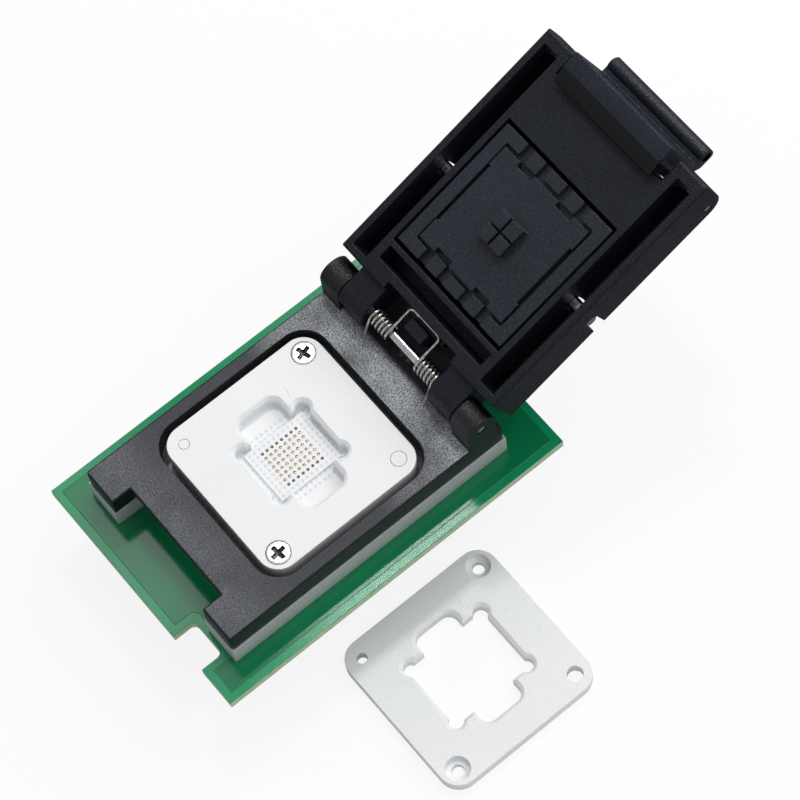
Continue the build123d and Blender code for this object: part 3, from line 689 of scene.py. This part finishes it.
# %% Header pins
row_from_middle, pin_pitch, pins_in_row, pin_tip = 7.62, 2.54, 20, -8.5
upright = np.array([0.0, 0.0, 1.0])
pin_profile = np.array([(0.0, 0.12), (0.5, 0.26), (11.0, 0.26)]) * mm
pin_points, pin_faces = turned(pin_profile, np.zeros(3), upright, 12)
for side, name in ((-1, "left"), (1, "right")):
    pins = []
    for i in range(pins_in_row):
        foot = np.array((side * row_from_middle, (i - (pins_in_row - 1) / 2) * pin_pitch, pin_tip)) * mm
        pins.append((pin_points + foot, pin_faces))
    node = f"header_pins_{name}"
    piece(f"{node}_gold", gathered(pins), "adapter", gold_plate, node)

# %% Contacts
contact_length, contact_columns, contact_rows = 3.9, 6, 8
tip_rises = contact_length - np.array([0.12, 0.06, 0.02, 0.0])
plunger_profile = [(0.0, 0.2), *zip(tip_rises, (0.2, 0.185, 0.14, 0.06))]
plunger_points, plunger_faces = turned(np.array(plunger_profile) * mm, np.zeros(3), upright, 10)
contact_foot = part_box("contact_pins")[0].z
plungers = []
for x in np.arange(contact_columns) - (contact_columns - 1) / 2:
    for y in np.arange(contact_rows) - (contact_rows - 1) / 2:
        foot = np.array((x * ball_pitch * mm, y * ball_pitch * mm, 0.0)) + (chip[0], chip[1], contact_foot)
        plungers.append((plunger_points + foot, plunger_faces))
piece("contact_plungers", gathered(plungers), "contacts", gold_plate, "contact_pins")

# %% [markdown]
# ## The latch's rolled bead
#
# The finger tab ends in a thick round bead that stands proud of it, so that a thumb catches it. It is turned
# from one profile, with rounded ends, and sits just inside the tab's tip.

# %% Latch bead
bead_r, bead_rounding, bead_from_tip, bead_above_tab = 1.12, 0.35, 1.14, 1.35
low, high = (np.array(corner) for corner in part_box("latch"))
bead_width = (high[0] - low[0]) / mm
quarter = np.linspace(0.0, pi / 2, 6)
steps = bead_rounding * (1 - np.cos(quarter))
radii = bead_r - bead_rounding + bead_rounding * np.sin(quarter)
profile = [*zip(steps, radii), *zip(bead_width - steps[::-1], radii[::-1])]
foot = hinge + along * (tab_tip - bead_from_tip * mm) + inwards * (tab_under + bead_above_tab * mm)
foot[0] = low[0]
piece("latch_bead", turned(np.array(profile) * mm, foot, right, 48), "latch", latch_black)

# %% [markdown]
# ## Screws
#
# A screw is turned, and then its head is struck with a cross punch. Its surface here is one set of rings:
# up the shank, out under the head, up its rim, and in over the top. On each ring over the top the points
# are crowded to where the cross's walls are: a wall a distance w from the arm's middle line crosses a ring
# of radius r at the angle arcsin(w / r), so from ring to ring the wall is a straight line. Cutting the
# cross with a Boolean modifier would leave thin triangles that shade badly on a domed head.


# %% Screws
def crowded(radius, arm, slope):
    """96 angles round a ring: four sectors, each with points at the foot and the top of both walls of one
    arm, at the arcsin of the wall's distance from the arm's middle line over the ring's radius. Near the
    middle, where the arms meet, they stop a little short of 45 degrees."""
    inner = min(np.arcsin(min(1.0, arm / radius)), radians(42.0))
    outer = min(np.arcsin(min(1.0, (arm + slope) / radius)), radians(43.5))
    edge = pi / 4
    turns = [-edge, -outer, -inner, inner, outer, edge]
    counts = [4, 2, 12, 2, 4]
    spans = zip(turns, turns[1:], counts)
    sector = np.concatenate([np.linspace(start, end, n, endpoint=False) for start, end, n in spans])
    return np.concatenate([sector + q * pi / 2 for q in range(4)])


def screw(top_of_head, axis, head_r, head_h, shank_r, length, dome=0.0, turn=0.0):
    """A cross-recessed screw in mm, with its head's top at a point and facing along the axis. Over the head
    the height is 0, less the cross's depth, less the rounded lip, less the dome times the radius's share of
    the head's, squared."""
    axis = np.asarray(axis, float)
    across = np.cross(axis, (0.0, 1.0, 0.0))
    up = np.cross(axis, across)
    arm, slope, far = 0.15 * head_r, 0.08, 0.68 * head_r
    shank = [(-length, shank_r - 0.15), (-length + 0.2, shank_r), (-head_h, shank_r)]
    rim = [(-head_h, head_r - 0.02), (-0.14 * head_h - dome, head_r)]
    flat = [head_r - 0.06, head_r - 0.14, (head_r + far) / 2, far + 0.02, *np.linspace(far, 0.03, 34)]
    points = []
    for height, r in shank + rim + [(None, r) for r in flat]:
        a = crowded(r, arm, slope)
        if height is None:
            small = r * np.minimum(abs(np.cos(a)), abs(np.sin(a)))
            wall = np.clip((arm + slope - small) / slope, 0, 1) * np.clip((far - r) / 0.14, 0, 1)
            depth = (0.4 + 0.4 * (1 - r / far)) * head_h
            lip = 0.06 * head_h * np.clip((r - head_r + 0.3) / 0.3, 0, 1) ** 2
            height = -wall * depth - lip - dome * (r / head_r) ** 2
        a = a + turn
        ring = np.cos(a)[:, None] * across + np.sin(a)[:, None] * up
        rise = np.broadcast_to(height, len(a))[:, None] * axis
        points.append(np.asarray(top_of_head) + r * ring + rise)
    return np.concatenate(points) * mm, joined(len(points), len(a))


# %% The two guide screws and the four board screws
guide_screw = dict(axis=(0.0, 0.0, 1.0), head_r=1.65, head_h=0.9, shank_r=0.8, length=6.9)
guide_screws = []
for x, y, turn in ((-10.0, 10.0, 0.28), (10.0, -10.0, 0.12)):
    top_of_head = (chip[0] / mm + x, chip[1] / mm + y, plate_top / mm)
    guide_screws.append(screw(top_of_head, turn=turn, **guide_screw))
piece("guide_screw_set", gathered(guide_screws), "adapter", nickel_with_cross_shade, "guide_screws")

board_screw = dict(axis=(0.0, 0.0, -1.0), head_r=1.6, head_h=1.0, shank_r=0.8, length=9.6, dome=0.2)
board_screws = []
for x, y, turn in ((-12.6, -17.8, 0.2), (12.6, -17.8, 1.0), (-12.6, 17.4, 0.6), (12.6, 17.4, 1.3)):
    top_of_head = (x, chip[1] / mm + y, 1.5)
    board_screws.append(screw(top_of_head, turn=turn, **board_screw))
piece("board_screw_set", gathered(board_screws), "adapter", nickel_plate, "board_screws")

# %% [markdown]
# ## The first-corner mark
#
# Each white plate has a small raised triangle by the corner where the chip's first ball goes. It is cut
# 0.06 mm proud, so it shows only as a faint outline, as on the real plate.


# %% First-corner marks
def corner_mark(name, spot, top, body):
    """A low three-sided frustum with a corner towards the opening: rings of three points whose radii fall
    from 0.95 to 0.82 mm as they rise 0.06 mm out of the plate's top."""
    turns = radians(-41) + 2 * pi * np.arange(3) / 3
    flat = np.stack([np.cos(turns), np.sin(turns), np.zeros(3)], 1)
    foot = np.array([*spot, top])
    profile = ((0.95, -0.02), (0.9, 0.03), (0.82, 0.06))
    rings = [foot + radius * flat + (0, 0, rise) for radius, rise in profile]
    piece(name, (np.concatenate(rings) * mm, joined(3, 3)), body, blasted_white)


spare_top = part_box("spare_guide_plate")[1].z
corner_mark("guide_corner_mark", chip[:2] / mm + (-6.7, 5.3), plate_top / mm, "nest")
corner_mark("spare_corner_mark", spare[:2] / mm + (-7.5, 5.3), spare_top / mm, "spare_guide")

# %% [markdown]
# ## The pieces that stay as the CAD made them
#
# The contact retainer is hidden inside the socket. Its CAD shape is right, so it only gets a material.

# %% Carried-over nodes
for node in nodes.values():
    if not node.hide_render:
        node.data.materials.clear()
        node.data.materials.append(satin_black)
        print("kept:", node.name)

# %% [markdown]
# ## Floor, light and camera
#
# The photograph is a product shot on white: a pale floor, three overhead lamps that the flat faces mirror
# towards the camera, one of them a narrow strip that draws the streak on the board's right margin, a lamp
# behind the lid, a wide fill, and a plain surround. The floor is nearly white to the camera but dark to
# reflections, because the real background was cut out and the black sides mirror a dark room. The surround
# is white to the camera alone. The three overhead lamps point straight down: a level face mirrors the
# camera's ray upwards, so the place of each was found by following such a ray up to the lamp's height.

# %% Floor
floor_material, tree, shader, place = begin("studio_floor", {"Roughness": 1.0, "Specular IOR Level": 0.0})
shader.inputs["Base Color"].default_value = (0.93, 0.93, 0.93, 1.0)
camera_white, floor_half = 0.86, 2.0
ray = add(tree, "LightPath", take=None)
white = add(tree, "Emission", {"Color": (1.0, 1.0, 1.0, 1.0), "Strength": 1.0})
dark = add(tree, "Emission", {"Color": (0.16, 0.165, 0.18, 1.0), "Strength": 1.0})
lifted = add(tree, "Math", {0: ray["Is Camera Ray"], 1: camera_white}, operation="MULTIPLY")
shown = add(tree, "MixShader", {0: lifted, 1: shader.outputs[0], 2: white})
mixed = add(tree, "MixShader", {0: ray["Is Glossy Ray"], 1: shown, 2: dark})
tree.links.new(mixed, tree.nodes["Material Output"].inputs["Surface"])
floor_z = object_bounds()[0][2]
ways = ((-1, -1), (1, -1), (1, 1), (-1, 1))
floor_mesh = bpy.data.meshes.new("floor")
floor_mesh.from_pydata([(x * floor_half, y * floor_half, floor_z) for x, y in ways], [], [(0, 1, 2, 3)])
floor_mesh.materials.append(floor_material)
floor = bpy.data.objects.new("floor", floor_mesh)
bpy.context.scene.collection.objects.link(floor)
print("floor at", round(floor_z / mm, 2), "mm")

# %% Surround
world = bpy.data.worlds.new("surround")
world.use_nodes = True
tree = world.node_tree
background = tree.nodes["Background"]
background.inputs["Color"].default_value = (0.96, 0.975, 1.0, 1.0)
background.inputs["Strength"].default_value = 0.46
seen = add(tree, "Background", {"Color": (1.0, 1.0, 1.0, 1.0), "Strength": 1.0})
by_camera = add(tree, "LightPath", take="Is Camera Ray")
both = add(tree, "MixShader", {0: by_camera, 1: background.outputs[0], 2: seen})
tree.links.new(both, tree.nodes["World Output"].inputs["Surface"])
bpy.context.scene.world = world
print("surround:", len(tree.nodes), "shader nodes")


# %% Lamps
def softbox(name, place, aim, width, height, power):
    """An area lamp in metres and watts that faces a point, or straight down where there is none."""
    lamp = bpy.data.lights.new(name, "AREA")
    lamp.shape = "RECTANGLE"
    lamp.size, lamp.size_y = width, height
    lamp.energy = power
    made = bpy.data.objects.new(name, lamp)
    made.location = place
    if aim:
        made.rotation_euler = (Vector(aim) - Vector(place)).to_track_quat("-Z", "Y").to_euler()
    bpy.context.scene.collection.objects.link(made)
    print(f"{name}: {power} W")


softbox("margin streak", (-0.187, 0.13, 0.6), None, 0.007, 0.11, 0.16)
softbox("front haze", (-0.245, 0.035, 0.6), None, 0.085, 0.06, 0.06)
softbox("hinge glow", (-0.23, 0.2, 0.6), None, 0.08, 0.05, 0.9)
softbox("behind", (-0.1, 0.5, 0.42), (0.0, 0.02, 0.02), 0.4, 0.25, 1.2)
softbox("front fill", (0.4, 0.5, 0.8), (0.0, 0.0, 0.0), 0.9, 0.9, 2.9)

# %% [markdown]
# ## The camera
#
# The camera was fitted to the photograph: a long lens, looking down about 66 degrees from level. The fit
# gave its three directions, so they are the columns of its matrix, with the view itself along minus z.

# %% Camera
camera_place = (0.1574, -0.0743, 0.4063)
to_right, to_top, ahead = (0.6288, 0.774, -0.0746), (-0.6915, 0.6005, 0.4015), (-0.3555, 0.2009, -0.9128)
camera_data = bpy.data.cameras.new("camera")
camera_data.lens = 148.8
camera_data.sensor_width = 36.0
camera_data.clip_start, camera_data.clip_end = 0.01, 10.0
camera = bpy.data.objects.new("camera", camera_data)
columns = np.array([to_right, to_top, [-value for value in ahead]]).T
camera.matrix_world = Matrix.Translation(camera_place) @ Matrix(columns.tolist()).to_4x4()
bpy.context.scene.collection.objects.link(camera)
bpy.context.scene.camera = camera
bpy.context.scene.view_settings.view_transform = "Standard"
print("lens", camera_data.lens, "mm")
